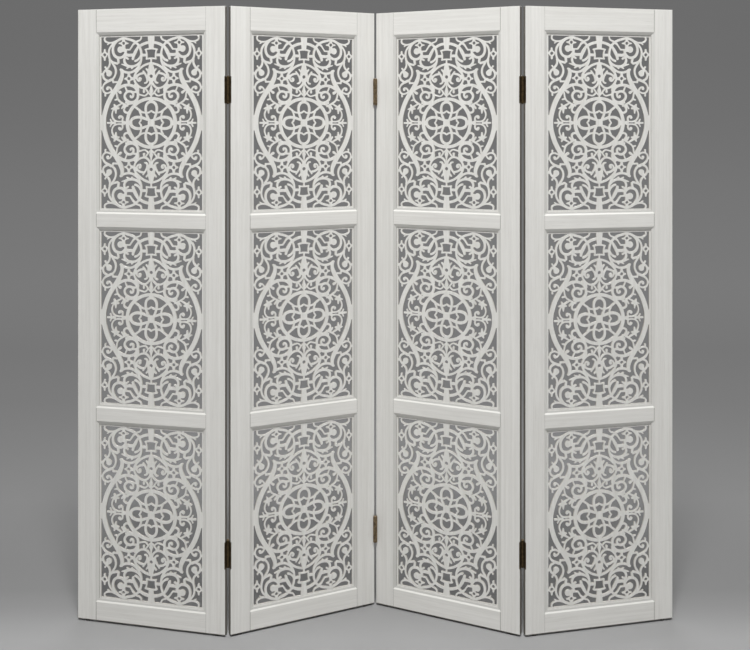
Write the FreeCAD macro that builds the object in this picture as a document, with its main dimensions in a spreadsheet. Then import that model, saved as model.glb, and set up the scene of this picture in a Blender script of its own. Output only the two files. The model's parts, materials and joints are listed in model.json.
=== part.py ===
import FreeCAD, Part
import Sketcher
import os
import re

V = FreeCAD.Vector
UPRIGHT = V(0, 0, 1)
doc = FreeCAD.newDocument("RoomDivider")

# A folding screen of four framed leaves with fretwork panels, standing in a zigzag.
# Driving sizes in millimetres, turns in degrees. A leaf's own axes are: across (x, from its
# middle to the right), deep (y, to the back) and up (z, from the frame's foot).
SIZES = [
    ("leaf_height", 1773, "height of a leaf's frame"),
    ("leaf_width", 457.2, "width of a leaf"),
    ("leaf_thickness", 16, "thickness of stiles and rails"),
    ("outer_turn", 14.2, "how far the two outer leaves are turned from the front"),
    ("inner_turn", 27.9, "how far the two inner leaves are turned from the front"),
    ("stile_width", 57, "stile's face, up to the bevel"),
    ("top_rail", 66.5, "top rail's face, up to the bevel"),
    ("mid_rail", 38, "middle rails' face, between bevels"),
    ("bottom_rail", 54, "bottom rail's face, up to the bevel"),
    ("bevel_width", 9, "bevel round the openings, across the face"),
    ("bevel_depth", 4, "the same bevel, into the thickness"),
    ("tenon_length", 30, "tenon beyond the stile's inner edge"),
    ("tenon_setback", 15, "top and bottom tenons' distance from the frame's end"),
    ("tenon_fit", 0.05, "clearance round a tenon"),
    ("tenon_room", 1, "room beyond a tenon's end"),
    ("panel_thickness", 4, "fretwork panel"),
    ("panel_seat", 6, "how deep a panel sits in its grooves"),
    ("panel_room", 1, "room beyond a panel's side and top edges"),
    ("panel_play", 0.15, "clearance on each face of a panel in its groove"),
    ("panel_border", 5.5, "plain strip that shows round the fretwork"),
    ("hinge_height", 76, "hinge plate"),
    ("hinge_drop", 236, "upper hinge's middle below the frame's top"),
    ("hinge_rise", 224, "lower hinge's middle above the frame's foot"),
    ("leaf_gap", 1, "gap between two leaves laid flat"),
    ("plate_thickness", 1.8, "hinge plate"),
    ("plate_margin", 0.6, "hinge plate's distance from the leaf's far face"),
    ("axis_proud", 5.2, "hinge axis in front of the leaf's face"),
    ("knuckle_radius", 6.2, "outside of the knuckles"),
    ("knuckle_count", 5, "knuckles on one hinge"),
    ("knuckle_gap", 0.3, "gap between two knuckles"),
    ("knuckle_room", 0.4, "room round the knuckles in plates and stiles"),
    ("pin_radius", 2.8, "hinge pin"),
    ("pin_fit", 0.05, "clearance round the pin in the turning knuckles"),
    ("cap_radius", 5.6, "domed end of a pin"),
    ("cap_height", 2.6, "the same dome"),
    ("screw_radius", 1.6, "screw's shank"),
    ("screw_fit", 0.05, "clearance round the shank"),
    ("screw_length", 14, "whole screw"),
    ("screw_tip", 3, "screw's pointed end"),
    ("screw_spacing", 26, "between the screws of a plate"),
    ("head_radius", 3.4, "screw's countersunk head"),
    ("head_depth", 1.6, "the same head"),
    ("glide_height", 5, "glide under a stile"),
    ("glide_radius", 7.2, "glide where it meets the stile"),
    ("glide_foot", 6.2, "glide's radius on the floor"),
    ("nail_radius", 1.4, "glide's nail"),
    ("nail_length", 16, "the same nail"),
    ("nail_fit", 0.05, "clearance round the nail"),
]
sheet = doc.addObject("Spreadsheet::Sheet", "Sizes")
for row, (alias, number, meaning) in enumerate(SIZES, start=1):
    sheet.set(f"A{row}", meaning)
    sheet.set(f"B{row}", str(number))
    sheet.setAlias(f"B{row}", alias)
doc.recompute()

# Sums of sizes that several pieces share
HALF = "leaf_thickness / 2"
LIP = "leaf_thickness / 2 - bevel_depth"
SLOT = "panel_thickness / 2 + panel_play"
EDGE = "stile_width + bevel_width"
RAIL = "leaf_width - 2 * stile_width"
OPENING = "(leaf_height - top_rail - 2 * mid_rail - bottom_rail) / 3"
SIDE_FLOOR = "stile_width + bevel_width - panel_seat - panel_room"
HEAD_FLOOR = "panel_seat + panel_room - bevel_width"
UPPER_HINGE = "leaf_height - hinge_drop"
LOWER_HINGE = "hinge_rise"


def formula(text):
    """A sum of sizes, with each name written as its cell in the sheet."""
    return re.sub(r"[a-z]\w*", r"Sizes.\g<0>", text)


def size(text):
    return float(sheet.evalExpression(formula(text)))


def bind(thing, sums):
    for name, text in sums.items():
        thing.setExpression(name, formula(text))


def at(across="0", deep="0", up="0", turn=0):
    """A place in a leaf or a piece, turned about the upright axis."""
    return FreeCAD.Placement(V(size(across), size(deep), size(up)), FreeCAD.Rotation(UPRIGHT, turn))


# Sketches for the wooden pieces

def new_sketch(body, plane, offset=None):
    sketch = body.newObject("Sketcher::SketchObject", body.Name + "_sketch")
    planes = {feature.Role: feature for feature in body.Origin.OriginFeatures}
    sketch.AttachmentSupport = (planes[plane], [""])
    sketch.MapMode = "FlatFace"
    if offset:
        bind(sketch, {"AttachmentOffset.Base.z": offset})
    return sketch


def hold(sketch, kind, axis, element, point, text):
    """Tie one coordinate of a sketch point to a sum of sizes, or to an axis where it is zero."""
    if text == "0":
        sketch.addConstraint(Sketcher.Constraint("PointOnObject", element, point, axis))
        return
    index = sketch.addConstraint(Sketcher.Constraint(kind, -1, 1, element, point, size(text)))
    bind(sketch, {f"Constraints[{index}]": text})


def hold_point(sketch, element, point, place):
    hold(sketch, "DistanceX", -2, element, point, place[0])
    hold(sketch, "DistanceY", -1, element, point, place[1])


def add_polygon(sketch, corners):
    points = [V(size(x), size(y), 0) for x, y in corners]
    first = sketch.GeometryCount
    count = len(points)
    for i in range(count):
        sketch.addGeometry(Part.LineSegment(points[i], points[(i + 1) % count]))
    for i in range(count):
        sketch.addConstraint(Sketcher.Constraint("Coincident", first + i, 2, first + (i + 1) % count, 1))
    for i, corner in enumerate(corners):
        hold_point(sketch, first + i, 1, corner)


def add_circle(sketch, centre, radius):
    circle = sketch.addGeometry(Part.Circle(V(size(centre[0]), size(centre[1]), 0), UPRIGHT, size(radius)))
    hold_point(sketch, circle, 3, centre)
    index = sketch.addConstraint(Sketcher.Constraint("Radius", circle, size(radius)))
    bind(sketch, {f"Constraints[{index}]": radius})


def both_faces(corners):
    """Corners (along, deep) of the back half of a section, closed by its mirror image in front."""
    return corners + [(along, f"-({deep})") for along, deep in reversed(corners)]


def deep_first(corners):
    return [(deep, along) for along, deep in corners]


def slab(low, high, deep):
    """A rectangle in an upright plane, the same to both faces."""
    return deep_first(both_faces([(low, deep), (high, deep)]))


def pad(body, sketch, length):
    feature = body.newObject("PartDesign::Pad", body.Name + "_pad")
    feature.Profile = sketch
    bind(feature, {"Length": length})
    body.Tip = feature


def pocket(body, sketch, length=None, both_ways=False):
    """A cut along the sketch's normal: of a given length, or right through, one way or both."""
    feature = body.newObject("PartDesign::Pocket", body.Name + "_pocket")
    feature.Profile = sketch
    feature.Reversed = not both_ways
    if length:
        bind(feature, {"Length": length})
    else:
        feature.Type = "ThroughAll"
    if both_ways:
        feature.SideType = "Symmetric"
    body.Tip = feature


# Rails: where each stands, how high its face is, and which of its edges are bevelled and grooved
RAILS = {
    "rail_bottom": ("0", "bottom_rail", False, True),
    "rail_lower": (f"bottom_rail + {OPENING}", "mid_rail", True, True),
    "rail_upper": (f"bottom_rail + mid_rail + 2 * {OPENING}", "mid_rail", True, True),
    "rail_top": ("leaf_height - top_rail", "top_rail", True, False),
}


def core(height, below, above):
    """The part of a rail between its grooves, from and to, over its lower arris."""
    low = HEAD_FLOOR if below else "0"
    high = f"{height} + bevel_width - panel_seat" if above else height
    return low, high


def tenon(height, below, above):
    low, high = core(height, below, above)
    return (low if below else "tenon_setback"), (high if above else f"{height} - tenon_setback")


def make_rail(name, height, below, above):
    """A rail with its bevels and grooves, coped over the stiles' bevels, with a tenon at each end."""
    body = doc.addObject("PartDesign::Body", name)
    low, high = core(height, below, above)
    lower_edge = [(low, SLOT), ("-bevel_width", SLOT), ("-bevel_width", LIP)] if below else []
    upper_foot = f"{height} + bevel_width"
    upper_edge = [(upper_foot, LIP), (upper_foot, SLOT), (high, SLOT)] if above else []
    section = new_sketch(body, "YZ_Plane")
    add_polygon(section, deep_first(both_faces(lower_edge + [("0", HALF), (height, HALF)] + upper_edge)))
    pad(body, section, RAIL)
    cope = new_sketch(body, "XY_Plane")
    add_polygon(cope, both_faces([("0", HALF), ("bevel_width", LIP)]))
    add_polygon(cope, both_faces([(RAIL, HALF), (f"{RAIL} - bevel_width", LIP)]))
    pocket(body, cope, both_ways=True)
    # a haunch fills the stile's groove behind the rail, and the tenon goes on into the mortise
    haunch = "panel_seat + panel_room - tenon_fit - bevel_width"
    reach = "tenon_length - bevel_width"
    for length, (start, end) in ((haunch, (low, high)), (reach, tenon(height, below, above))):
        bar = new_sketch(body, "YZ_Plane", offset=f"-({length})")
        add_polygon(bar, slab(start, end, f"{SLOT} - tenon_fit"))
        pad(body, bar, f"{RAIL} + 2 * ({length})")
    return body


def make_stile(name, knuckle_side):
    """A stile, its outer edge at x = 0: +1 or -1 says on which face its hinges have their knuckles."""
    body = doc.addObject("PartDesign::Body", name)
    section = new_sketch(body, "XY_Plane")
    corners = [("0", HALF), ("stile_width", HALF), (EDGE, LIP), (EDGE, SLOT), (SIDE_FLOOR, SLOT)]
    add_polygon(section, both_faces(corners))
    pad(body, section, "leaf_height")
    mortises = new_sketch(body, "YZ_Plane", offset=f"{EDGE} - tenon_length - tenon_room")
    for foot, height, below, above in RAILS.values():
        start, end = tenon(height, below, above)
        add_polygon(mortises, slab(f"{foot} + {start} - tenon_fit", f"{foot} + {end} + tenon_fit", SLOT))
    pocket(body, mortises)
    nail_hole = new_sketch(body, "XY_Plane")
    add_circle(nail_hole, ("stile_width / 2", "0"), "nail_radius + nail_fit")
    pocket(body, nail_hole, "nail_length + tenon_room")
    if knuckle_side:
        cut_hinge_seats(body, knuckle_side)
    return body


def cut_hinge_seats(body, knuckle_side):
    gains = new_sketch(body, "YZ_Plane")
    screw_holes = new_sketch(body, "YZ_Plane")
    for middle in (UPPER_HINGE, LOWER_HINGE):
        add_polygon(gains, slab(f"{middle} - hinge_height / 2", f"{middle} + hinge_height / 2",
                                "leaf_thickness"))
        for step in (-1, 0, 1):
            add_circle(screw_holes, ("0", f"{middle} + {step} * screw_spacing"), "screw_radius + screw_fit")
    pocket(body, gains, "plate_thickness")
    pocket(body, screw_holes, "screw_length + tenon_room")
    room = "hinge_height + 2 * (cap_height + knuckle_room)"
    for middle in (UPPER_HINGE, LOWER_HINGE):
        scoop = new_sketch(body, "XY_Plane", offset=f"{middle} - ({room}) / 2")
        add_circle(scoop, knuckle_axis(knuckle_side), "knuckle_radius + knuckle_room")
        pocket(body, scoop, room)


def knuckle_axis(knuckle_side):
    """Where a hinge's axis lies, seen from its stile's outer edge."""
    return "-leaf_gap / 2", f"{knuckle_side} * ({HALF} + axis_proud)"


# Metal pieces, made of primitives

def primitive(kind, name, sums, across="0", deep="0", up="0"):
    thing = doc.addObject(kind, name)
    bind(thing, sums)
    bind(thing, {"Placement.Base.x": across, "Placement.Base.y": deep, "Placement.Base.z": up})
    return thing


def fuse(name, things):
    fused = doc.addObject("Part::MultiFuse", name)
    fused.Shapes = things
    return fused


def cut(name, base, tool):
    result = doc.addObject("Part::Cut", name)
    result.Base = base
    result.Tool = tool
    return result


def make_screw():
    """A countersunk screw along x, its head's face at x = 0."""
    body = doc.addObject("PartDesign::Body", "screw")
    profile = new_sketch(body, "XY_Plane")
    add_polygon(profile, [("0", "0"), ("0", "head_radius"), ("head_depth", "screw_radius"),
                          ("screw_length - screw_tip", "screw_radius"), ("screw_length", "0")])
    turn = body.newObject("PartDesign::Revolution", "screw_turn")
    turn.Profile = profile
    turn.ReferenceAxis = (profile, ["H_Axis"])
    body.Tip = turn
    return body


def make_plate(name, knuckle_side, own, others, bore):
    """A hinge plate on a stile's edge, its middle at z = 0, with every second knuckle its own."""
    across, deep = knuckle_axis(knuckle_side)
    foot = "-hinge_height / 2"
    pitch = "hinge_height / knuckle_count"
    depth = "leaf_thickness + axis_proud - plate_margin"
    front = f"plate_margin - {HALF}" if knuckle_side > 0 else deep
    leaf = primitive("Part::Box", name + "_leaf",
                     {"Length": "plate_thickness", "Width": depth, "Height": "hinge_height"}, "0", front, foot)
    clear = [primitive("Part::Cylinder", name + "_clear",
                       {"Radius": "knuckle_radius + knuckle_room", "Height": f"{pitch} + knuckle_gap"},
                       across, deep, f"{foot} + {k} * {pitch} - knuckle_gap / 2") for k in others]
    knuckles = [primitive("Part::Cylinder", name + "_knuckle",
                          {"Radius": "knuckle_radius", "Height": f"{pitch} - knuckle_gap"},
                          across, deep, f"{foot} + {k} * {pitch} + knuckle_gap / 2") for k in own]
    blank = fuse(name + "_blank", [cut(name + "_combed", leaf, fuse(name + "_comb", clear))] + knuckles)
    holes = [primitive("Part::Cylinder", name + "_bore", {"Radius": bore, "Height": "hinge_height"},
                       across, deep, foot)]
    for step in (-1, 0, 1):
        sink = primitive("Part::Cone", name + "_sink",
                         {"Radius1": "head_radius", "Radius2": "screw_radius", "Height": "head_depth"},
                         up=f"{step} * screw_spacing")
        hole = primitive("Part::Cylinder", name + "_hole",
                         {"Radius": "screw_radius + screw_fit", "Height": "plate_thickness"},
                         up=f"{step} * screw_spacing")
        for tool in (sink, hole):
            tool.Placement.Rotation = FreeCAD.Rotation(UPRIGHT, V(1, 0, 0))
        holes += [sink, hole]
    return cut(name, blank, fuse(name + "_holes", holes))


def make_pin():
    """A hinge pin with a domed cap at each end, its middle at the origin."""
    shank = primitive("Part::Cylinder", "pin_shank", {"Radius": "pin_radius", "Height": "hinge_height"},
                      up="-hinge_height / 2")
    caps = []
    for side in (-1, 1):
        cap = primitive("Part::Ellipsoid", "pin_cap",
                        {"Radius1": "cap_height", "Radius2": "cap_radius", "Radius3": "cap_radius"},
                        up=f"{side} * hinge_height / 2")
        cap.Angle1, cap.Angle2 = (0, 90) if side > 0 else (-90, 0)
        caps.append(cap)
    return fuse("pin", [shank] + caps)


def make_glide():
    """A nail-on glide: its foot stands on the floor and its top meets the stile at z = 0."""
    foot = primitive("Part::Cone", "glide_disc",
                     {"Radius1": "glide_foot", "Radius2": "glide_radius", "Height": "glide_height"},
                     up="-glide_height")
    nail = primitive("Part::Cylinder", "glide_nail", {"Radius": "nail_radius", "Height": "nail_length"})
    return fuse("glide", [foot, nail])


# Fretwork. One quarter is drawn on squared paper from the panel's middle, across and up: the pierced
# window is 157 squares from its middle to a side and 248.5 to its head. Each stroke has points on its
# middle line and widths along it, in squares. A scroll has round ends, a link has flat ends inside
# what it joins, and a spike starts flat and ends round.
window_shares = (157, 248.5)
stroke_shares = [
    # rosette in the ring
    ("scroll", [(-8, 58.8), (0, 60.8), (8, 58.8), (14, 53), (17, 44), (17, 35), (15, 25), (11.5, 16),
                (8, 8)], [7.5, 7.8, 7.5, 6.5]),
    ("scroll", [(62.3, -7), (63.5, 0), (62.3, 7), (58.5, 11.5), (52.5, 14.6), (45, 16.3), (37, 16.3),
                (29, 15), (21, 12.3), (13, 9.5), (6, 8)], [8.3, 8.3, 8.3, 6]),
    ("scroll", [(-5, 31), (0, 34), (5, 31), (11, 29.2), (18, 29.3), (25, 30), (31.5, 32.3), (38, 37),
                (45, 42), (52, 48.5)], [5, 5, 6.5]),
    ("scroll", [(33.5, -5), (37, 0), (33.5, 5), (31.4, 11), (31.2, 18), (32.5, 25), (36, 33)], [5, 5, 6]),
    ("link", [(0, 60.8), (0, 70)], [14]),
    ("link", [(63.5, 0), (75, 0)], [14]),
    # band that swings from the side to the shoulder, and the shoulder's long line
    ("scroll", [(148.7, -15), (149.3, 0), (148.7, 15), (145.3, 30), (138.8, 50), (129.2, 70), (117.8, 88),
                (106.5, 104.5), (97, 121), (91.3, 138), (93, 152)], [14, 14, 14, 13.5, 13.5, 9]),
    ("link", [(154.5, -22), (154.5, 22)], [6]),
    ("scroll", [(95.7, 154), (88, 149), (78, 146), (68, 145.3), (58, 147.5), (49, 152.5), (41, 160),
                (34.7, 170), (31.3, 181), (30.8, 193), (31.8, 205), (35.3, 216), (40.5, 224.5), (47.5, 231.5),
                (56, 236.5), (66, 240), (77, 242.7)], [7, 6.5, 6.5, 6.5, 7]),
    # scroll in the corner
    ("scroll", [(76, 243), (87, 244.5), (96, 242.5), (104, 239), (111, 233.5), (116.5, 226), (119.8, 217),
                (120.3, 208), (118, 199.5), (113, 192.8), (105.5, 189.2), (97.5, 188.5), (90, 190.8),
                (84, 196), (80.3, 202), (79.5, 207)], [6.5, 7.5, 7.5, 7.5, 7]),
    ("spike", [(80, 203), (83, 209), (89, 212), (96.5, 212)], [6, 12, 19]),
    ("scroll", [(141, 252), (146.5, 245), (146, 239), (140.5, 234.5), (131, 232.3), (121, 233),
                (112, 236), (104, 240)], [5]),
    ("spike", [(131, 232.5), (137.5, 227)], [6, 3]),
    ("scroll", [(113.5, 232.5), (121.3, 227), (128, 219.5), (132.3, 210.5), (133.4, 200), (132.2, 190),
                (129, 182), (123.5, 176.8), (115.5, 173.9), (106.5, 171.7)], [6, 6, 6.5]),
    ("spike", [(105, 190), (103.5, 183), (102.5, 175)], [8, 7]),
    # leaves inside the shoulder
    ("scroll", [(37, 224), (43.5, 214.5), (49.5, 204), (54.5, 194), (57, 185)], [5.5, 10, 8]),
    ("link", [(53, 196), (64, 195.5), (75, 196), (82, 199)], [8.5]),
    ("link", [(48, 231), (57, 225), (62.5, 217), (67, 211.5)], [7, 4.5, 4.5]),
    ("link", [(65, 211.5), (82, 211)], [4.5]),
    ("spike", [(31, 199), (35, 189), (41, 182.5), (50, 178.5)], [5.5, 6.5]),
    ("scroll", [(32, 180), (38, 172), (46, 166.3), (56, 163.2), (66, 162.9), (75.5, 165.5), (82, 172.3),
                (84.3, 182), (83, 190), (85, 195)], [5.5, 8, 5.5]),
    ("spike", [(78, 166), (92, 169.5)], [7, 3]),
    ("spike", [(69, 162), (76, 157.5)], [5.5, 4]),
    ("spike", [(57, 162), (60.5, 157.5)], [6, 5]),
    ("spike", [(82.5, 191), (73, 185)], [7, 5.5]),
    ("link", [(49, 232.5), (40, 236.5), (33.5, 240), (31, 245.5), (30.5, 252)], [4.6]),
    # small window over the dome
    ("link", [(37, 220), (27, 226), (17, 229.5), (7, 231.3), (-5, 232)], [8]),
    ("link", [(0, 253), (0, 213)], [22, 14]),
    ("scroll", [(18, 210.5), (9, 212.8), (-3, 213.5)], [5]),
    ("scroll", [(14.8, 184.5), (6, 185.3), (-3, 185.5)], [4.6]),
    ("scroll", [(17, 211), (14.8, 203.5), (13.6, 196), (13.6, 190), (14.8, 184)], [4.6]),
    ("link", [(30, 195), (13.6, 195)], [8]),
    ("link", [(0, 185.5), (0, 169)], [5]),
    # dome, its column and its curls
    ("scroll", [(-6, 171), (0, 171.7), (11, 169.5), (23, 165), (35, 157), (45, 147.5), (51.5, 137),
                (53, 127), (50, 117), (43, 108), (33.5, 102), (22.5, 99.8), (14.5, 102), (9.5, 106),
                (5.3, 111), (2.7, 117.5), (1.8, 126)], [6, 6.5, 5.5, 6.5]),
    ("link", [(52, 146.5), (43, 154.5), (36, 164)], [5]),
    ("link", [(0, 172), (0, 160), (0, 150), (0, 140), (0, 130), (0, 118)], [13, 16, 21, 24, 24, 10]),
    ("spike", [(8, 147), (12, 151.5), (15, 155)], [6, 4.5]),
    ("scroll", [(25, 148.5), (20, 141.5), (15, 134), (12, 126), (12.3, 119.5), (16, 115.5), (20, 114.7)],
     [4.5, 7, 4.5]),
    ("scroll", [(25, 143), (31, 142), (38, 139.5), (43.3, 135), (45, 129.5), (43, 124), (38.3, 121),
                (34.3, 122.5), (33.6, 126), (36, 128)], [6.5, 6, 5.5, 5.5, 8]),
    ("link", [(44, 133), (52, 133.5)], [13]),
    # volute
    ("scroll", [(107, 97), (98, 102.7), (87, 107.3), (75, 109.5), (62.5, 108), (51.5, 102.8), (44.7, 94),
                (41.3, 84), (41.8, 73.5), (47.3, 64.7), (56.3, 60), (66.3, 60), (75.7, 63.7), (82, 70.7),
                (83.3, 78.5), (80, 85.3), (74.7, 89.8), (67.5, 91), (60.8, 89.2), (56.4, 84.7), (55.8, 78.7),
                (59, 74.2), (63, 74.2), (64.5, 77.5)], [10, 8, 8, 8, 6.5, 7, 7, 6.4, 6]),
    ("link", [(75.5, 90.5), (79, 98), (82, 106)], [4.5]),
    ("link", [(81, 60.5), (66, 57.5), (53, 58), (43, 66)], [8.5]),
    ("link", [(45, 109.5), (52.5, 103.5)], [13]),
    ("link", [(41.5, 91), (42, 100), (47, 107)], [8]),
    ("link", [(44, 90.5), (52, 88.8), (60, 89)], [6]),
    # flower between dome and band
    ("link", [(70, 128), (70, 145.3)], [12, 6]),
    ("link", [(70, 128), (70, 109.8)], [12, 6]),
    ("link", [(70, 127.5), (53, 127.5)], [12, 7]),
    ("spike", [(70, 127.5), (81.5, 127.5)], [12, 5.5]),
    # foliage and star under the band
    ("scroll", [(110, 89), (107.7, 79), (106, 71.5), (101.8, 64.5), (93.7, 58.5), (84, 53), (74, 49)],
     [5, 5, 5.5]),
    ("spike", [(105, 69), (113.5, 66.5)], [6, 4]),
    ("spike", [(106, 93.5), (96.5, 87.3)], [5.5, 8]),
    ("link", [(90.5, 57.5), (98, 53), (105, 49), (112, 44)], [4.5, 5, 8]),
    ("spike", [(112, 44), (116.3, 53)], [11, 4]),
    ("spike", [(112, 44), (124.5, 40.5)], [10, 3.5]),
    ("spike", [(112, 44), (111, 28.5)], [11, 4]),
    ("spike", [(112, 44), (103, 42)], [11, 6]),
    ("spike", [(84, 52), (92, 42)], [7, 5]),
    # stem, hook and arrow between ring and band
    ("scroll", [(115, 43), (121.5, 31.5), (123.2, 22.5), (121, 14), (115.8, 7.5), (109, 4.4), (100, 3.6),
                (91, 4), (84, 3)], [4.6]),
    ("spike", [(92, 4), (89.5, 10.5), (91.3, 16.5), (96.3, 18.8), (99.8, 15.8)], [5, 5.5, 8.5]),
    ("scroll", [(128.5, 10), (125.5, 4.5), (121, -1)], [4, 4.5]),
    ("link", [(139, 0), (128, 0), (111, 0)], [5, 6, 9]),
    ("link", [(92.5, 0), (76, 0)], [8]),
    ("scroll", [(71, 30.5), (79.5, 30), (84.5, 34.5), (83.5, 43), (77.3, 50.3), (68, 55), (57, 56.5)], [6]),
    # eye between dome and ring
    ("scroll", [(41, 82.5), (34, 80.8), (27, 78.8), (20.5, 78), (14.8, 80.8), (10, 87)], [4.3]),
    ("scroll", [(20, 100), (14.4, 94), (9.6, 87.5), (4.7, 82.5), (-1, 77.5)], [4.6]),
    ("spike", [(22.5, 100), (22.8, 89.7)], [4, 7]),
    ("scroll", [(0, 114), (0, 101), (0, 92)], [2.5, 6, 12]),
    ("link", [(0, 93), (0, 86), (0, 72)], [12, 8, 4.5]),
    # scrolls at the side
    ("scroll", [(130.8, 181), (130, 172), (132.8, 163.3), (140, 155.5), (147.5, 148.7), (151.3, 140),
                (149.7, 130.3), (142, 124), (133, 122), (123.7, 125.2), (115.8, 132.8), (111.5, 143),
                (111.5, 153.5), (115.3, 163.3), (120.3, 170.7), (122.5, 174)], [6]),
    ("link", [(151.5, 141), (160, 142)], [8]),
    ("spike", [(143, 153), (138, 150), (132.8, 143.5)], [6, 11, 18]),
    ("spike", [(138, 157), (142, 158.3), (145, 162)], [3.5, 5]),
    ("spike", [(122, 127), (119.3, 118)], [5, 6]),
    ("link", [(119, 118), (102, 118.3)], [5.2]),
    ("scroll", [(126, 125), (137, 120.2), (146, 114.5), (151.5, 106.5), (152.8, 98), (149.3, 90.2),
                (142.5, 86.3), (134.5, 86.8), (127, 90), (118, 92)], [8, 5, 5, 5]),
    ("link", [(152.5, 101), (160, 102)], [7]),
    ("spike", [(122, 91.5), (126, 97), (130.5, 101.8), (135.5, 102.8), (137.5, 99.3)], [5, 5, 8.5]),
    ("spike", [(145, 87.5), (144.5, 79)], [4, 5.5]),
    # arms of the corner bead and the side bead
    ("link", [(86.5, 230), (86.5, 244.5)], [9]),
    ("link", [(86.5, 230), (86.5, 211)], [10]),
    ("spike", [(86.5, 230), (100, 230)], [10, 4]),
    ("spike", [(86.5, 230), (73, 229.5)], [10, 4]),
    ("spike", [(146.5, 197.5), (146.5, 212)], [9, 5]),
    ("spike", [(146.5, 197.5), (146.3, 183)], [9, 5.5]),
    ("link", [(146.5, 198), (160, 198.5)], [7]),
    ("link", [(146.5, 198), (134.2, 200)], [6]),
]
# round beads: middle, radius and the hole's radius, and the bare hole in the dome's column
bead_shares = [(86.5, 230, 8, 4.5), (146.5, 197.5, 9, 4.7), (70, 127.8, 8.5, 4.7)]
column_hole_shares = (0, 134, 5)
# the ring's outer and inner half-axes, and half the square block in its middle
ring_shares = [(80, 74.6), (69, 65.5)]
block_share = 10.5


def widths_along(count, widths):
    """Widths spread evenly over the points of a stroke."""
    if len(widths) == 1:
        return widths * count
    steps = [i * (len(widths) - 1) / (count - 1) for i in range(count)]
    lows = [min(int(step), len(widths) - 2) for step in steps]
    return [widths[low] + (step - low) * (widths[low + 1] - widths[low]) for step, low in zip(steps, lows)]


def stroke(kind, points, widths):
    """A flat face along a smooth line through the points, as wide as given at each."""
    line = Part.BSplineCurve()
    line.interpolate(points)
    aims = [line.tangent(line.parameter(point))[0] for point in points]
    reaches = [width / 2 for width in widths_along(len(points), widths)]
    sides = []
    for sign in (1, -1):
        offsets = [V(-aim.y, aim.x, 0) * sign * reach for aim, reach in zip(aims, reaches)]
        side = Part.BSplineCurve()
        side.interpolate([point + offset for point, offset in zip(points, offsets)])
        sides.append(side)
    left, right = sides
    start = points[0] - aims[0] * reaches[0]
    end = points[-1] + aims[-1] * reaches[-1]
    rims = [left.toShape(), right.toShape()]
    for is_round, a, tip, b in ((kind == "scroll", right.StartPoint, start, left.StartPoint),
                                (kind != "link", left.EndPoint, end, right.EndPoint)):
        rims.append((Part.Arc(a, tip, b) if is_round else Part.LineSegment(a, b)).toShape())
    return Part.Face(Part.Wire(Part.sortEdges(rims)[0]))


def rim(faces):
    """The edges round a flat patchwork of faces: those that only one face has."""
    owners = {}
    for face in faces:
        for edge in face.Edges:
            owners.setdefault(edge.hashCode(), []).append(edge)
    return [edges[0] for edges in owners.values() if len(edges) == 1]


def trimmed(edge):
    """An edge whose curve ends where the edge does."""
    curve = edge.Curve.copy()
    if isinstance(curve, Part.BSplineCurve):
        curve.segment(*edge.ParameterRange)
        return curve.toShape()
    return curve.toShape(*edge.ParameterRange)


def inside_quarter(edge):
    """True for an edge of the drawing, false for one where the quarter is cut from the whole."""
    middle = edge.valueAt(sum(edge.ParameterRange) / 2)
    return min(middle.x, middle.y) > FreeCAD.Base.Precision.confusion()


def fretwork_face():
    """The whole panel's outline with all its holes, from one quarter and its mirror images."""
    half_width = size(f"{RAIL} - 2 * bevel_width") / 2
    half_height = size(f"{OPENING} - 2 * bevel_width") / 2
    border, seat = size("panel_border"), size("panel_seat")
    window = V(half_width - border, half_height - border, 0)
    outer = V(half_width + seat, half_height + seat, 0)
    square = window.x / window_shares[0]
    square_up = window.y / window_shares[1]

    def disc(across, up, radius):
        return Part.Face(Part.Wire(Part.makeCircle(radius * square, V(across * square, up * square_up, 0))))

    def oval(radius, radius_up):
        middle = V(0, 0, 0)
        points = (V(radius * square, 0, 0), V(0, radius_up * square_up, 0))
        if points[1].y > points[0].x:
            points = points[::-1]
        return Part.Face(Part.Wire(Part.Ellipse(*points, middle).toShape()))

    def plate(low, high):
        return Part.makePlane(high.x - low.x, high.y - low.y, low)

    faces = [stroke(kind, [V(x * square, y * square_up, 0) for x, y in points], [w * square for w in widths])
             for kind, points, widths in stroke_shares]
    faces += [disc(across, up, radius) for across, up, radius, hole in bead_shares]
    faces += oval(*ring_shares[0]).cut(oval(*ring_shares[1])).Faces
    block = V(square, square_up, 0) * block_share
    faces.append(plate(-block, block))
    faces.append(plate(V(window.x, -seat, 0), outer))
    faces.append(plate(V(-seat, window.y, 0), outer))
    drawn = faces[0].multiFuse(faces[1:]).common(plate(V(0, 0, 0), outer))
    holes = [disc(across, up, hole) for across, up, radius, hole in bead_shares] + [disc(*column_hole_shares)]
    drawn = drawn.cut(Part.makeCompound(holes))
    edges = [trimmed(edge) for edge in rim(drawn.Faces) if inside_quarter(edge)]
    for normal in (V(1, 0, 0), V(0, 1, 0)):
        edges += [edge.mirror(V(0, 0, 0), normal) for edge in edges]
    wires = [Part.Wire(chain) for chain in Part.sortEdges(edges)]
    return Part.makeFace(wires, "Part::FaceMakerBullseye")


def make_panel():
    outline = doc.addObject("Part::Feature", "fretwork_outline")
    outline.Shape = fretwork_face()
    panel = doc.addObject("Part::Extrusion", "fretwork_panel")
    panel.Base = outline
    panel.DirMode = "Custom"
    panel.Dir = UPRIGHT
    panel.Solid = True
    bind(panel, {"LengthFwd": "panel_thickness", "Placement.Base.y": "panel_thickness / 2"})
    panel.Placement.Rotation = FreeCAD.Rotation(V(1, 0, 0), 90)
    return panel


# Where the leaves stand: the middle hinge axis lies far back, the outer ones near the front

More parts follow.
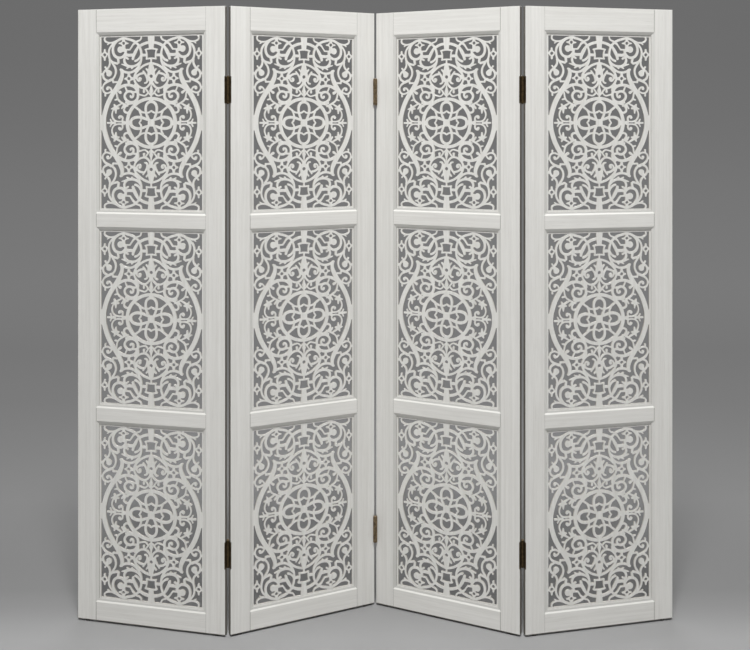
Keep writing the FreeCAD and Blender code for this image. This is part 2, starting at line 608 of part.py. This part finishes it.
def leaf_places():
    inner, outer = size("inner_turn"), size("outer_turn")
    reach, proud = size("(leaf_width + leaf_gap) / 2"), size(f"{HALF} + axis_proud")
    turns = {1: -outer, 2: inner, 3: -inner, 4: outer}

    def swung(turn, across, deep):
        return FreeCAD.Rotation(UPRIGHT, turn).multVec(V(across, deep, 0))

    middles = {2: -swung(inner, reach, -proud)}
    middles[1] = middles[2] + swung(inner, -reach, proud) - swung(-outer, reach, proud)
    half_width, half = size("leaf_width / 2"), size(HALF)
    depths = [(middles[leaf] + swung(turns[leaf], a * half_width, b * half)).y
              for leaf in (1, 2) for a in (-1, 1) for b in (-1, 1)]
    shift = V(0, -(min(depths) + max(depths)) / 2, size("glide_height"))
    for leaf, twin in ((1, 4), (2, 3)):
        middles[leaf] += shift
        middles[twin] = V(-middles[leaf].x, middles[leaf].y, middles[leaf].z)
    return {leaf: FreeCAD.Placement(middles[leaf], FreeCAD.Rotation(UPRIGHT, turns[leaf])) for leaf in turns}


# Each sub-part is a placed copy, or a group of placed copies, of the pieces made once above

nodes = []


def copy_of(piece, label, place):
    copy = doc.addObject("Part::Compound", label)
    copy.Links = [piece]
    copy.Placement = place
    return copy


def add_node(label, piece, place):
    nodes.append(copy_of(piece, label, place))


def add_group(label, placed, place):
    group = doc.addObject("Part::Compound", label)
    group.Links = [copy_of(piece, label + "_copy", spot) for piece, spot in placed]
    group.Placement = place
    nodes.append(group)


rails = {name: make_rail(name, *form) for name, (foot, *form) in RAILS.items() if name != "rail_upper"}
rails["rail_upper"] = rails["rail_lower"]
stiles = {side: make_stile(name, side) for name, side in
          (("stile_plain", 0), ("stile_knuckle_plus", 1), ("stile_knuckle_minus", -1))}
screw, pin, glide, panel = make_screw(), make_pin(), make_glide(), make_panel()
hinge_plates = {
    1: make_plate("plate_pinned", 1, (0, 2, 4), (1, 3), "pin_radius"),
    -1: make_plate("plate_turning", -1, (1, 3), (0, 2, 4), "pin_radius + pin_fit"),
}
hinges = {"upper": UPPER_HINGE, "lower": LOWER_HINGE}
screw_spots = [at(up=f"{middle} + {step} * screw_spacing") for middle in hinges.values() for step in (-1, 0, 1)]

# knuckle side of each leaf's left and right stile (0: no hinge) and the joint that the stile is at
EDGES = {
    1: {"left": (0, None), "right": (-1, "hinge_12")},
    2: {"left": (1, "hinge_12"), "right": (1, "hinge_23")},
    3: {"left": (-1, "hinge_23"), "right": (-1, "hinge_34")},
    4: {"left": (1, "hinge_34"), "right": (0, None)},
}
PANELS = {
    "panel_bottom": f"bottom_rail + {OPENING} / 2",
    "panel_middle": f"bottom_rail + mid_rail + 3 * {OPENING} / 2",
    "panel_top": f"bottom_rail + 2 * mid_rail + 5 * {OPENING} / 2",
}

for leaf, leaf_place in leaf_places().items():
    name = f"leaf_{leaf}"
    stile_spots = {"left": at("-leaf_width / 2"), "right": at("leaf_width / 2", turn=180)}
    screws = []
    for side, (knuckle_side, joint) in EDGES[leaf].items():
        spot = stile_spots[side]
        stile_place = leaf_place.multiply(spot)
        add_node(f"{name}_stile_{side}", stiles[knuckle_side], stile_place)
        if not joint:
            continue
        screws += [(screw, spot.multiply(screw_spot)) for screw_spot in screw_spots]
        for level, middle in hinges.items():
            add_node(f"{joint}_{level}_plate_{leaf}", hinge_plates[knuckle_side],
                     stile_place.multiply(at(up=middle)))
        if knuckle_side > 0:
            axis = knuckle_axis(knuckle_side)
            add_group(f"{joint}_pins", [(pin, at(*axis, middle)) for middle in hinges.values()], stile_place)
    for rail, (foot, *form) in RAILS.items():
        add_node(f"{name}_{rail}", rails[rail], leaf_place.multiply(at("stile_width - leaf_width / 2", up=foot)))
    for level, middle in PANELS.items():
        add_node(f"{name}_{level}", panel, leaf_place.multiply(at(up=middle)))
    add_group(f"{name}_screws", screws, leaf_place)
    glide_spots = [spot.multiply(at("stile_width / 2")) for spot in stile_spots.values()]
    add_group(f"{name}_glides", [(glide, spot) for spot in glide_spots], leaf_place)

doc.recompute()
for thing in doc.Objects:
    if "Invalid" in thing.State or "Error" in thing.State:
        raise RuntimeError(f"{thing.Label} failed: {thing.State}")
os.makedirs("parts", exist_ok=True)
for node in nodes:
    if node.Shape.isNull() or not node.Shape.isValid():
        raise RuntimeError(f"{node.Label} has no valid shape")
    node.Shape.exportStep(f"parts/{node.Label}.step")
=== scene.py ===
import bmesh
import bpy
import json
from math import atan2, cos, radians, sin
from mathutils import Matrix, Vector


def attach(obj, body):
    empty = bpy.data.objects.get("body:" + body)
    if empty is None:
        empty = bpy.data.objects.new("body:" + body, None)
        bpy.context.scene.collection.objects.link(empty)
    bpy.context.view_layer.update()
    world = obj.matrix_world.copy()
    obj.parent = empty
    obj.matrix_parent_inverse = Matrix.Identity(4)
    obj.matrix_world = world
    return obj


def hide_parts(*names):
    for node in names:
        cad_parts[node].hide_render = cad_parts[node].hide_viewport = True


# A four-leaf folding screen of white-washed wood with pierced fretwork panels and bronze hinges.
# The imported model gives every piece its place. Here the stiles and rails get eased arrises and
# open joint lines, every surface gets its finish, and the screen stands on a pale sweep in soft
# light. Lengths are in metres.

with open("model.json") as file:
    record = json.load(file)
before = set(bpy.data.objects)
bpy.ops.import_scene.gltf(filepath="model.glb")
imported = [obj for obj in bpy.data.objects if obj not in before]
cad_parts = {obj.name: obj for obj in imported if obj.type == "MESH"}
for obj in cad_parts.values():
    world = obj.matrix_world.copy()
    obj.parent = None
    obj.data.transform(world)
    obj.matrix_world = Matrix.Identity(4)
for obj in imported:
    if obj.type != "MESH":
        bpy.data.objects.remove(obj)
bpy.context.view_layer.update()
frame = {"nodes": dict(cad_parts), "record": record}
scene = bpy.context.scene
scene.view_settings.view_transform = "Standard"

# Joinery

ARRIS_EASING, ARRIS_STEPS = 0.0008, 2
SHORTEST_ARRIS, BLUNTEST_ARRIS = 0.010, radians(60)
MERGE_DISTANCE, FLAT_ANGLE = 0.00001, radians(1)
FACE_PLAY = 0.00005
# stiles whose hinged edge is painted dark as shade
HINGED_EDGES = {"leaf_1_stile_right", "leaf_2_stile_left", "leaf_2_stile_right",
                "leaf_3_stile_left", "leaf_3_stile_right", "leaf_4_stile_left"}
# how wide the line of bare wood is where a rail meets its left and right stile
OPEN_JOINTS = {"leaf_1": (0.0012, 0.0005), "leaf_2": (0.0012, 0.0005),
               "leaf_3": (0.0005, 0.0012), "leaf_4": (0.0005, 0.0012)}
# how deep in a rail's bevel the painted shade begins, and how high the painted shadow along the
# foot of a leaf reaches
LEDGE_DEPTH, FOOT_SHADOW_HEIGHT = 0.002, 0.002
# a face is square to an axis when this much of its normal lies along it, and it belongs to a
# moulding when its normal leans towards the front by between these two shares
SQUARE_ON = 0.95
LEAST_LEAN, MOST_LEAN = 0.2, 0.97
# places in the list of finishes of a stile or rail; plain wash comes first, the painted shadow
# along the foot last
MOULDED, BARE_AND_SHADED, SHADED_LEDGE = 1, 2, 3

# Finishes

# painted light and shade on each stile and its moulding, as shares of the wash: painted shade on
# the boards beside the valley, and each moulding lighter or darker by how light falls on it
STILE_PAINTED_LIGHT_AND_SHADE = {"leaf_1_stile_left": (1, 0.84), "leaf_1_stile_right": (1, 1.02),
                "leaf_2_stile_left": (1, 0.93), "leaf_2_stile_right": (0.95, 0.76),
                "leaf_3_stile_left": (0.95, 0.76), "leaf_3_stile_right": (1, 0.93),
                "leaf_4_stile_left": (1, 1.02), "leaf_4_stile_right": (1, 0.84)}
# a painted highlight on the rails' mouldings, painted shade on their ledges, and a painted shadow
# along the foot of each leaf
RAIL_MOULDING_HIGHLIGHT, LEDGE_PAINTED_SHADE, FOOT_PAINTED_SHADOW = 1.05, 0.62, 0.65
# how far the marks in the wood are drawn out along each axis of a leaf
EVEN = (1, 1, 1)
UPRIGHT_GRAIN, LEVEL_GRAIN, PANEL_GRAIN = (1, 1, 30), (30, 1, 1), (1, 1, 22)
BAND_LENGTH = 6
WASH, THIN_WASH = (0.81, 0.801, 0.768), (0.785, 0.775, 0.74)
BAND, STREAK, PORE = (0.715, 0.705, 0.67), (0.70, 0.688, 0.652), (0.62, 0.60, 0.56)
# walls of the holes: a thinner wash on the sawn wood, darkened further as painted shade
SAWN_WALL_AND_SHADE = (0.50, 0.475, 0.43)
# dark wood: bare at the open joints, painted shade on the lips, hinged edges and feet
BARE, BARE_STREAK = (0.25, 0.235, 0.21), (0.17, 0.155, 0.135)
# one aged bronze in two copies: darker as painted shade for the hinges in the peaks, lighter as
# painted light for the hinge in the valley
BRONZE, BRONZE_PATINA = (0.16, 0.115, 0.06), (0.07, 0.05, 0.028)
LIT_BRONZE, LIT_BRONZE_PATINA = (0.30, 0.225, 0.132), (0.13, 0.097, 0.062)
PLASTIC, PLASTIC_SCUFF = (0.05, 0.046, 0.042), (0.10, 0.095, 0.09)
# scale, detail and roughness of the noise behind each mark, and the ramp that sharpens it
CLOUDS = (9, 3, 0.55, [(0.35, 0), (0.7, 0.7)])
BANDS = (130, 3, 0.55, [(0.36, 0), (0.66, 0.62)])
STREAKS = (160, 6, 0.62, [(0.44, 0), (0.7, 0.75)])
PORES = (620, 3, 0.5, [(0.6, 0), (0.72, 0.45)])
OPEN_STREAKS = (140, 6, 0.62, [(0.4, 0), (0.7, 1)])
PATINA = (120, 5, 0.6, [(0.38, 0), (0.62, 1)])
SCUFFS = (260, 5, 0.65, [(0.45, 0), (0.75, 0.5)])
# the same for how rough each surface is
WASH_ROUGHNESS = (90, 4, 0.55, [(0.3, 0.5), (0.7, 0.64)])
BARE_ROUGHNESS = (90, 4, 0.55, [(0.3, 0.66), (0.7, 0.8)])
BRONZE_ROUGHNESS = (420, 4, 0.55, [(0.3, 0.38), (0.7, 0.56)])
PLASTIC_ROUGHNESS = (500, 3, 0.55, [(0.3, 0.55), (0.7, 0.72)])
CAST_TOOTH = (900, 2, 0.55)
WASH_SHINE, BARE_SHINE, BRONZE_METAL = 0.35, 0.25, 0.85
RELIEF_DEPTH = 0.0002
PORE_RELIEF, STREAK_RELIEF, TOOTH_RELIEF = 0.25, 0.3, 0.2
# from walls square to a leaf's front to faces that lie flat in it
WALL_STOPS = [(0.35, 1), (0.65, 0)]


# Materials

def add_node(tree, kind, inputs=None, **settings):
    node = tree.nodes.new(kind)
    for name, value in settings.items():
        setattr(node, name, value)
    for name, value in (inputs or {}).items():
        node.inputs[name].default_value = value
    return node


def new_material(name):
    material = bpy.data.materials.new(name)
    material.use_nodes = True
    tree = material.node_tree
    return material, tree, tree.nodes["Principled BSDF"]


def leaf_coordinates(tree, turn, stretch):
    """Object coordinates turned to lie along a leaf, and drawn out along the grain."""
    where = add_node(tree, "ShaderNodeTexCoord")
    mapping = add_node(tree, "ShaderNodeMapping", {"Rotation": (0, 0, turn), "Scale": stretch},
                       vector_type="TEXTURE")
    tree.links.new(where.outputs["Object"], mapping.inputs["Vector"])
    return mapping.outputs["Vector"]


def noise(tree, vector, scale, detail, roughness):
    texture = add_node(tree, "ShaderNodeTexNoise",
                       {"Scale": scale, "Detail": detail, "Roughness": roughness})
    tree.links.new(vector, texture.inputs["Vector"])
    return texture.outputs["Fac"]


def ramp(tree, factor, stops):
    node = add_node(tree, "ShaderNodeValToRGB")
    while len(node.color_ramp.elements) < len(stops):
        node.color_ramp.elements.new(0.5)
    for element, (position, level) in zip(node.color_ramp.elements, stops):
        element.position = position
        element.color = (level, level, level, 1)
    tree.links.new(factor, node.inputs["Fac"])
    return node.outputs["Color"]


def marks(tree, vector, scale, detail, roughness, stops):
    """Noise sharpened into marks on a surface."""
    return ramp(tree, noise(tree, vector, scale, detail, roughness), stops)


def mix_colour(tree, factor, first, second):
    """Blend two colours, each a fixed colour or another node's output."""
    node = add_node(tree, "ShaderNodeMix", data_type="RGBA")
    tree.links.new(factor, node.inputs["Factor"])
    for socket, colour in ((node.inputs["A"], first), (node.inputs["B"], second)):
        if isinstance(colour, tuple):
            socket.default_value = (*colour, 1)
        else:
            tree.links.new(colour, socket)
    return node.outputs["Result"]


def shaded(colour, shade):
    return tuple(channel * shade for channel in colour)


def set_surface(tree, shader, colour, rough):
    tree.links.new(colour, shader.inputs["Base Color"])
    tree.links.new(rough, shader.inputs["Roughness"])


def set_relief(tree, shader, height, strength, sunk):
    relief = add_node(tree, "ShaderNodeBump", {"Strength": strength, "Distance": RELIEF_DEPTH},
                      invert=sunk)
    tree.links.new(height, relief.inputs["Height"])
    tree.links.new(relief.outputs["Normal"], shader.inputs["Normal"])


def wall_factor(tree, turn):
    """One on walls that stand square to a leaf's front, nought on its front and back."""
    where = add_node(tree, "ShaderNodeTexCoord")
    facing = add_node(tree, "ShaderNodeVectorMath", operation="DOT_PRODUCT")
    facing.inputs[1].default_value = (sin(turn), -cos(turn), 0)
    tree.links.new(where.outputs["Normal"], facing.inputs[0])
    size = add_node(tree, "ShaderNodeMath", operation="ABSOLUTE")
    tree.links.new(facing.outputs["Value"], size.inputs[0])
    return ramp(tree, size.outputs["Value"], WALL_STOPS)


def whitewash(name, turn, stretch, shade=1.0, sawn=False):
    """Pale wash over fine-grained wood: cloudy cover, long bands, soft streaks and short pores."""
    material, tree, shader = new_material(name)
    plain = leaf_coordinates(tree, turn, EVEN)
    grain = leaf_coordinates(tree, turn, stretch)
    drawn_out = tuple(BAND_LENGTH * along if along > 1 else along for along in stretch)
    board = leaf_coordinates(tree, turn, drawn_out)
    pores = marks(tree, grain, *PORES)
    colour = mix_colour(tree, marks(tree, plain, *CLOUDS), shaded(WASH, shade),
                        shaded(THIN_WASH, shade))
    colour = mix_colour(tree, marks(tree, board, *BANDS), colour, shaded(BAND, shade))
    colour = mix_colour(tree, marks(tree, grain, *STREAKS), colour, shaded(STREAK, shade))
    colour = mix_colour(tree, pores, colour, shaded(PORE, shade))
    if sawn:
        # walls of the holes darker: thinner wash, and painted shade
        colour = mix_colour(tree, wall_factor(tree, turn), colour, SAWN_WALL_AND_SHADE)
    set_surface(tree, shader, colour, marks(tree, grain, *WASH_ROUGHNESS))
    set_relief(tree, shader, pores, PORE_RELIEF, sunk=True)
    shader.inputs["Specular IOR Level"].default_value = WASH_SHINE
    return material


def bare_and_shaded_wood(name, turn, stretch, shade=1.0):
    """Dark, dry, open-grained stained wood: bare at the open joints, and painted shade on the lips
    and hinged edges and along the feet.
    """
    material, tree, shader = new_material(name)
    grain = leaf_coordinates(tree, turn, stretch)
    streaks = marks(tree, grain, *OPEN_STREAKS)
    colour = mix_colour(tree, streaks, shaded(BARE, shade), shaded(BARE_STREAK, shade))
    set_surface(tree, shader, colour, marks(tree, grain, *BARE_ROUGHNESS))
    set_relief(tree, shader, streaks, STREAK_RELIEF, sunk=True)
    shader.inputs["Specular IOR Level"].default_value = BARE_SHINE
    return material


def bronze(name, bright, dark):
    """Aged bronze: brown patina over metal, brighter in patches, with a fine cast tooth."""
    material, tree, shader = new_material(name)
    where = leaf_coordinates(tree, 0, EVEN)
    colour = mix_colour(tree, marks(tree, where, *PATINA), bright, dark)
    set_surface(tree, shader, colour, marks(tree, where, *BRONZE_ROUGHNESS))
    set_relief(tree, shader, noise(tree, where, *CAST_TOOTH), TOOTH_RELIEF, sunk=False)
    shader.inputs["Metallic"].default_value = BRONZE_METAL
    return material


def dark_plastic(name):
    """Scuffed dark plastic for the glides."""
    material, tree, shader = new_material(name)
    where = leaf_coordinates(tree, 0, EVEN)
    colour = mix_colour(tree, marks(tree, where, *SCUFFS), PLASTIC, PLASTIC_SCUFF)
    set_surface(tree, shader, colour, marks(tree, where, *PLASTIC_ROUGHNESS))
    return material


# Stiles and rails

def leaf_turn(body):
    """How far a leaf is turned from the front, read from the broad face of its top rail."""
    faces = frame["nodes"][body + "_rail_top"].data.polygons
    front = max((face for face in faces if face.normal.y < 0), key=lambda face: face.area)
    return atan2(front.normal.x, -front.normal.y)


def turn_piece(bm, turn):
    bmesh.ops.rotate(bm, verts=bm.verts, cent=(0, 0, 0), matrix=Matrix.Rotation(turn, 3, "Z"))


def squared_copy(node_name, turn):
    """A CAD piece merged to clean faces and turned so that its leaf lies square to the axes."""
    bm = bmesh.new()
    bm.from_mesh(frame["nodes"][node_name].data)
    bmesh.ops.remove_doubles(bm, verts=bm.verts, dist=MERGE_DISTANCE)
    bmesh.ops.dissolve_limit(bm, angle_limit=FLAT_ANGLE, verts=bm.verts, edges=bm.edges)
    turn_piece(bm, -turn)
    return bm


def broad_faces(bm):
    """The depth of a piece's front and back."""
    depths = [vert.co.y for vert in bm.verts]
    return min(depths), max(depths)


def ease_arrises(bm):
    """Take the sharpness off the long corners of the front and back."""
    front, back = broad_faces(bm)
    arrises = [edge for edge in bm.edges
               if edge.is_manifold and edge.calc_length() > SHORTEST_ARRIS
               and edge.calc_face_angle() > BLUNTEST_ARRIS
               and all(min(vert.co.y - front, back - vert.co.y) < FACE_PLAY
                       for vert in edge.verts)]
    bmesh.ops.bevel(bm, geom=arrises, offset=ARRIS_EASING, offset_type="OFFSET",
                    segments=ARRIS_STEPS, profile=0.5, affect="EDGES", clamp_overlap=False,
                    material=-1)


def score(bm, place, across):
    """Mark a line round a piece where a plane meets it, so that finishes can change there."""
    bmesh.ops.bisect_plane(bm, geom=bm.verts[:] + bm.edges[:] + bm.faces[:], plane_co=place,
                           plane_no=across)


def finish_stile(bm, outward, hinged):
    """Wash on the faces, painted light and shade on the mouldings, and dark wood as painted shade
    inside the lips and on the hinged edges.
    """
    for face in bm.faces:
        across, deep = face.normal.x * outward, abs(face.normal.y)
        # painted shade: dark wood on the inner walls of the lips and on the hinged edges
        if across < -SQUARE_ON or (hinged and across > SQUARE_ON):
            face.material_index = BARE_AND_SHADED
        elif across < -LEAST_LEAN and LEAST_LEAN < deep < MOST_LEAN:
            face.material_index = MOULDED


def finish_rail(bm, openings, below_panel):
    """Wash on the faces, a painted highlight on the mouldings, painted shade along the ledges, and
    bare wood where the rail meets each stile.
    """
    front, back = broad_faces(bm)
    for deep in (front + LEDGE_DEPTH, back - LEDGE_DEPTH):
        score(bm, (0, deep, 0), (0, 1, 0))
    across = [vert.co.x for vert in bm.verts
              if min(vert.co.y - front, back - vert.co.y) < FACE_PLAY]
    left, right = min(across) + openings[0], max(across) - openings[1]
    for joint in (left, right):
        score(bm, (joint, 0, 0), (1, 0, 0))
    for face in bm.faces:
        middle, deep, up = face.calc_center_median(), abs(face.normal.y), face.normal.z
        if deep > MOST_LEAN and not left < middle.x < right:
            face.material_index = BARE_AND_SHADED
        elif abs(up) > LEAST_LEAN and LEAST_LEAN < deep < MOST_LEAN:
            sunk = min(middle.y - front, back - middle.y) > LEDGE_DEPTH
            # painted shade on the sunk half of an upward bevel, and the painted highlight on the
            # rest of the mouldings
            face.material_index = SHADED_LEDGE if sunk and up > 0 else MOULDED
        elif below_panel and up > SQUARE_ON:
            # painted shade on the upward shelves below the panel
            face.material_index = SHADED_LEDGE


def paint_foot_shadow(bm, slot):
    """Painted shadow along the bottom edge, next to the floor, in dark wood."""
    level = min(vert.co.z for vert in bm.verts) + FOOT_SHADOW_HEIGHT
    score(bm, (0, 0, level), (0, 0, 1))
    for face in bm.faces:
        if face.calc_center_median().z < level:
            face.material_index = slot


def frame_member(node_name, body, turn, finishes):
    """A stile or rail with eased arrises and its finishes, in place of the CAD piece."""
    bm = squared_copy(node_name, turn)
    ease_arrises(bm)
    if "_stile_" in node_name:
        finish_stile(bm, -1 if node_name.endswith("left") else 1, node_name in HINGED_EDGES)
    else:
        finish_rail(bm, OPEN_JOINTS[body], not node_name.endswith("_rail_top"))
    # a painted shadow along the foot of the stiles and bottom rails
    if "_stile_" in node_name or node_name.endswith("_rail_bottom"):
        paint_foot_shadow(bm, len(finishes) - 1)
    turn_piece(bm, turn)
    mesh = bpy.data.meshes.new(node_name + "_eased")
    bm.to_mesh(mesh)
    bm.free()
    for finish in finishes:
        mesh.materials.append(finish)
    piece = bpy.data.objects.new(node_name + "_eased", mesh)
    scene.collection.objects.link(piece)
    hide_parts(node_name)
    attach(piece, body)


def finish_node(node_name, material):
    """One finish over a CAD piece that is shown as it is."""
    mesh = frame["nodes"][node_name].data
    mesh.materials.clear()
    mesh.materials.append(material)


# a shaded and a lit copy of the bronze: painted shade and painted light
shaded_bronze = bronze("aged_bronze_in_shade", BRONZE, BRONZE_PATINA)
lit_bronze = bronze("lit_bronze_copy", LIT_BRONZE, LIT_BRONZE_PATINA)
glide_finish = dark_plastic("dark_glide")

for body, node_names in frame["record"]["behaviour"]["bodies"].items():
    turn = leaf_turn(body)
    rail_wash = whitewash(body + "_rail_wash", turn, LEVEL_GRAIN)
    # a painted highlight on the rail's mouldings
    rail_moulding = whitewash(body + "_rail_moulding_wash", turn, LEVEL_GRAIN, RAIL_MOULDING_HIGHLIGHT)
    # painted shade on the rail's ledges
    ledge = whitewash(body + "_ledge_painted_shade", turn, LEVEL_GRAIN, LEDGE_PAINTED_SHADE)
    fretwork = whitewash(body + "_fretwork_wash", turn, PANEL_GRAIN, sawn=True)
    # dark wood: bare at the open joints, painted shade inside the lips and on the hinged edges
    bare = bare_and_shaded_wood(body + "_bare_and_shaded_wood", turn, UPRIGHT_GRAIN)
    # a painted shadow along the foot
    foot = bare_and_shaded_wood(body + "_foot_painted_shadow", turn, LEVEL_GRAIN, FOOT_PAINTED_SHADOW)
    for node_name in node_names:
        if "_stile_" in node_name:
            # painted shade on the board, and painted light and shade on its moulding
            board_painted_shade, moulding_light_and_shade = STILE_PAINTED_LIGHT_AND_SHADE[node_name]
            wash = whitewash(node_name + "_wash", turn, UPRIGHT_GRAIN, board_painted_shade)
            moulding = whitewash(node_name + "_moulding_wash", turn, UPRIGHT_GRAIN, moulding_light_and_shade)
            frame_member(node_name, body, turn, (wash, moulding, bare, foot))
        elif "_rail_" in node_name:
            frame_member(node_name, body, turn, (rail_wash, rail_moulding, bare, ledge, foot))
        elif "_panel_" in node_name:
            finish_node(node_name, fretwork)
        elif "_glides" in node_name:
            finish_node(node_name, glide_finish)
        else:
            # painted light on the valley hinge, which faces the front; painted shade on the hinges
            # in the peaks and on the screws
            metal = lit_bronze if node_name.startswith("hinge_23") else shaded_bronze
            finish_node(node_name, metal)


# Studio: a pale sweep, lamps in front, above and behind, and a level camera

SWEEP_SIDE, SWEEP_FRONT, SWEEP_BACK = 14, -9, 4
COVE_RADIUS, COVE_STEPS, BACKDROP_RISE = 1.5, 24, 7
SWEEP_ROUGHNESS, SWEEP_SHINE = 0.8, 0.1
# tone of the sweep along its run, as distance back plus height, from the front to the top: painted
# light and shade, paler at the front, dipping just behind the screen and greyer towards the
# backdrop
SWEEP_TONES = [(-0.13, 0.316), (-0.03, 0.29), (0.07, 0.247), (0.21, 0.218), (0.45, 0.222),
               (1.05, 0.246), (2.6, 0.212), (5.2, 0.222), (6.4, 0.205), (7.5, 0.178),
               (7.8, 0.175)]
# how much of that tone the sweep shows by itself: none at the feet, so that their shadow shows
SWEEP_GLOW = [(-0.13, 0), (0.15, 0), (0.35, 0.2), (1.2, 0.35), (2.6, 0.7), (7.8, 0.7)]
# name, place, target, width, height, watts and spread in degrees
LAMPS = [("high_front", (0, -3.6, 7.2), (0, 0, 0.9), 1.6, 1.6, 590, 180),
         ("overhead_strip", (0, -1.6, 3.4), (0, 0, 1.3), 2.6, 0.3, 10, 180),
         ("behind", (0, 4.8, 3.2), (0, 0, 1.0), 5.0, 1.0, 36, 90)]
STUDIO_FILL = 0.15
CAMERA_PLACE, SENSOR_WIDTH = (0, -3.270, 1.44), 36
# the photograph's frame in pixels: its size, focal length, horizon and upright middle line
PHOTO_WIDTH, PHOTO_HEIGHT = 750, 650
FOCAL_PIXELS = 1121
HORIZON_ROW, MIDDLE_COLUMN = 125.9, 375.23


def make_sweep():
    """Floor that curves up into a backdrop."""
    bm = bmesh.new()
    start = bm.verts.new((-SWEEP_SIDE, SWEEP_FRONT, 0))
    bend = bm.verts.new((-SWEEP_SIDE, SWEEP_BACK, 0))
    bm.edges.new((start, bend))
    cove = bmesh.ops.spin(bm, geom=[bend], cent=(-SWEEP_SIDE, SWEEP_BACK, COVE_RADIUS),
                          axis=(1, 0, 0), angle=radians(90), steps=COVE_STEPS)
    top = [item for item in cove["geom_last"] if isinstance(item, bmesh.types.BMVert)]
    rise = bmesh.ops.extrude_vert_indiv(bm, verts=top)
    bmesh.ops.translate(bm, verts=rise["verts"], vec=(0, 0, BACKDROP_RISE))
    wide = bmesh.ops.extrude_edge_only(bm, edges=bm.edges[:])
    moved = [item for item in wide["geom"] if isinstance(item, bmesh.types.BMVert)]
    bmesh.ops.translate(bm, verts=moved, vec=(2 * SWEEP_SIDE, 0, 0))
    bmesh.ops.recalc_face_normals(bm, faces=bm.faces)
    mesh = bpy.data.meshes.new("sweep")
    bm.to_mesh(mesh)
    bm.free()
    mesh.shade_smooth()
    sweep = bpy.data.objects.new("sweep", mesh)
    scene.collection.objects.link(sweep)
    return sweep


def sweep_run(tree):
    """How far along its run a place on the sweep lies, from nought to one."""
    where = add_node(tree, "ShaderNodeTexCoord")
    split = add_node(tree, "ShaderNodeSeparateXYZ")
    tree.links.new(where.outputs["Object"], split.inputs["Vector"])
    run = add_node(tree, "ShaderNodeMath", operation="ADD")
    tree.links.new(split.outputs["Y"], run.inputs[0])
    tree.links.new(split.outputs["Z"], run.inputs[1])
    share = add_node(tree, "ShaderNodeMapRange",
                     {"From Min": SWEEP_TONES[0][0], "From Max": SWEEP_TONES[-1][0]})
    tree.links.new(run.outputs["Value"], share.inputs["Value"])
    return share.outputs["Result"]


def along_run(tree, run, stops):
    near, far = SWEEP_TONES[0][0], SWEEP_TONES[-1][0]
    return ramp(tree, run, [((place - near) / (far - near), level) for place, level in stops])


def seen_rays(tree):
    """One for rays from the camera, straight or mirrored, and nought for light that bounces."""
    rays = add_node(tree, "ShaderNodeLightPath")
    seen = add_node(tree, "ShaderNodeMath", operation="ADD", use_clamp=True)
    mirrored = add_node(tree, "ShaderNodeMath", operation="ADD", use_clamp=True)
    tree.links.new(rays.outputs["Is Camera Ray"], seen.inputs[0])
    tree.links.new(rays.outputs["Is Glossy Ray"], mirrored.inputs[0])
    tree.links.new(rays.outputs["Is Transmission Ray"], mirrored.inputs[1])
    tree.links.new(mirrored.outputs["Value"], seen.inputs[1])
    return seen.outputs["Value"]


def sweep_paint():
    """Pale floor in front that greys towards the backdrop in painted light and shade, partly lit
    from within as seen.
    """
    material, tree, shader = new_material("sweep_paint")
    run = sweep_run(tree)
    tone, own_light = along_run(tree, run, SWEEP_TONES), along_run(tree, run, SWEEP_GLOW)
    tree.links.new(tone, shader.inputs["Base Color"])
    shader.inputs["Roughness"].default_value = SWEEP_ROUGHNESS
    shader.inputs["Specular IOR Level"].default_value = SWEEP_SHINE
    glow = add_node(tree, "ShaderNodeEmission")
    tree.links.new(tone, glow.inputs["Color"])
    amount = add_node(tree, "ShaderNodeMath", operation="MULTIPLY")
    tree.links.new(seen_rays(tree), amount.inputs[0])
    tree.links.new(own_light, amount.inputs[1])
    blend = add_node(tree, "ShaderNodeMixShader")
    tree.links.new(amount.outputs["Value"], blend.inputs["Fac"])
    tree.links.new(shader.outputs["BSDF"], blend.inputs[1])
    tree.links.new(glow.outputs["Emission"], blend.inputs[2])
    tree.links.new(blend.outputs["Shader"], tree.nodes["Material Output"].inputs["Surface"])
    return material


def add_softbox(name, place, target, width, height, power, spread):
    light = bpy.data.lights.new(name, "AREA")
    light.shape = "RECTANGLE"
    light.size = width
    light.size_y = height
    light.energy = power
    light.spread = radians(spread)
    lamp = bpy.data.objects.new(name, light)
    lamp.location = place
    aim = Vector(target) - Vector(place)
    lamp.rotation_euler = aim.to_track_quat("-Z", "Y").to_euler()
    scene.collection.objects.link(lamp)


def add_camera():
    """A level camera, with its frame shifted down to hold the screen as the photograph does."""
    camera_data = bpy.data.cameras.new("camera")
    camera_data.sensor_width = SENSOR_WIDTH
    camera_data.lens = SENSOR_WIDTH * FOCAL_PIXELS / PHOTO_WIDTH
    camera_data.shift_x = (PHOTO_WIDTH / 2 - MIDDLE_COLUMN) / PHOTO_WIDTH
    camera_data.shift_y = (HORIZON_ROW - PHOTO_HEIGHT / 2) / PHOTO_WIDTH
    camera = bpy.data.objects.new("camera", camera_data)
    camera.location = CAMERA_PLACE
    camera.rotation_euler = (radians(90), 0, 0)
    scene.collection.objects.link(camera)
    scene.camera = camera


sweep = make_sweep()
sweep.data.materials.append(sweep_paint())
for lamp in LAMPS:
    add_softbox(*lamp)
world = bpy.data.worlds.new("studio")
world.use_nodes = True
background = world.node_tree.nodes["Background"]
background.inputs["Color"].default_value = (STUDIO_FILL, STUDIO_FILL, STUDIO_FILL, 1)
scene.world = world
add_camera()
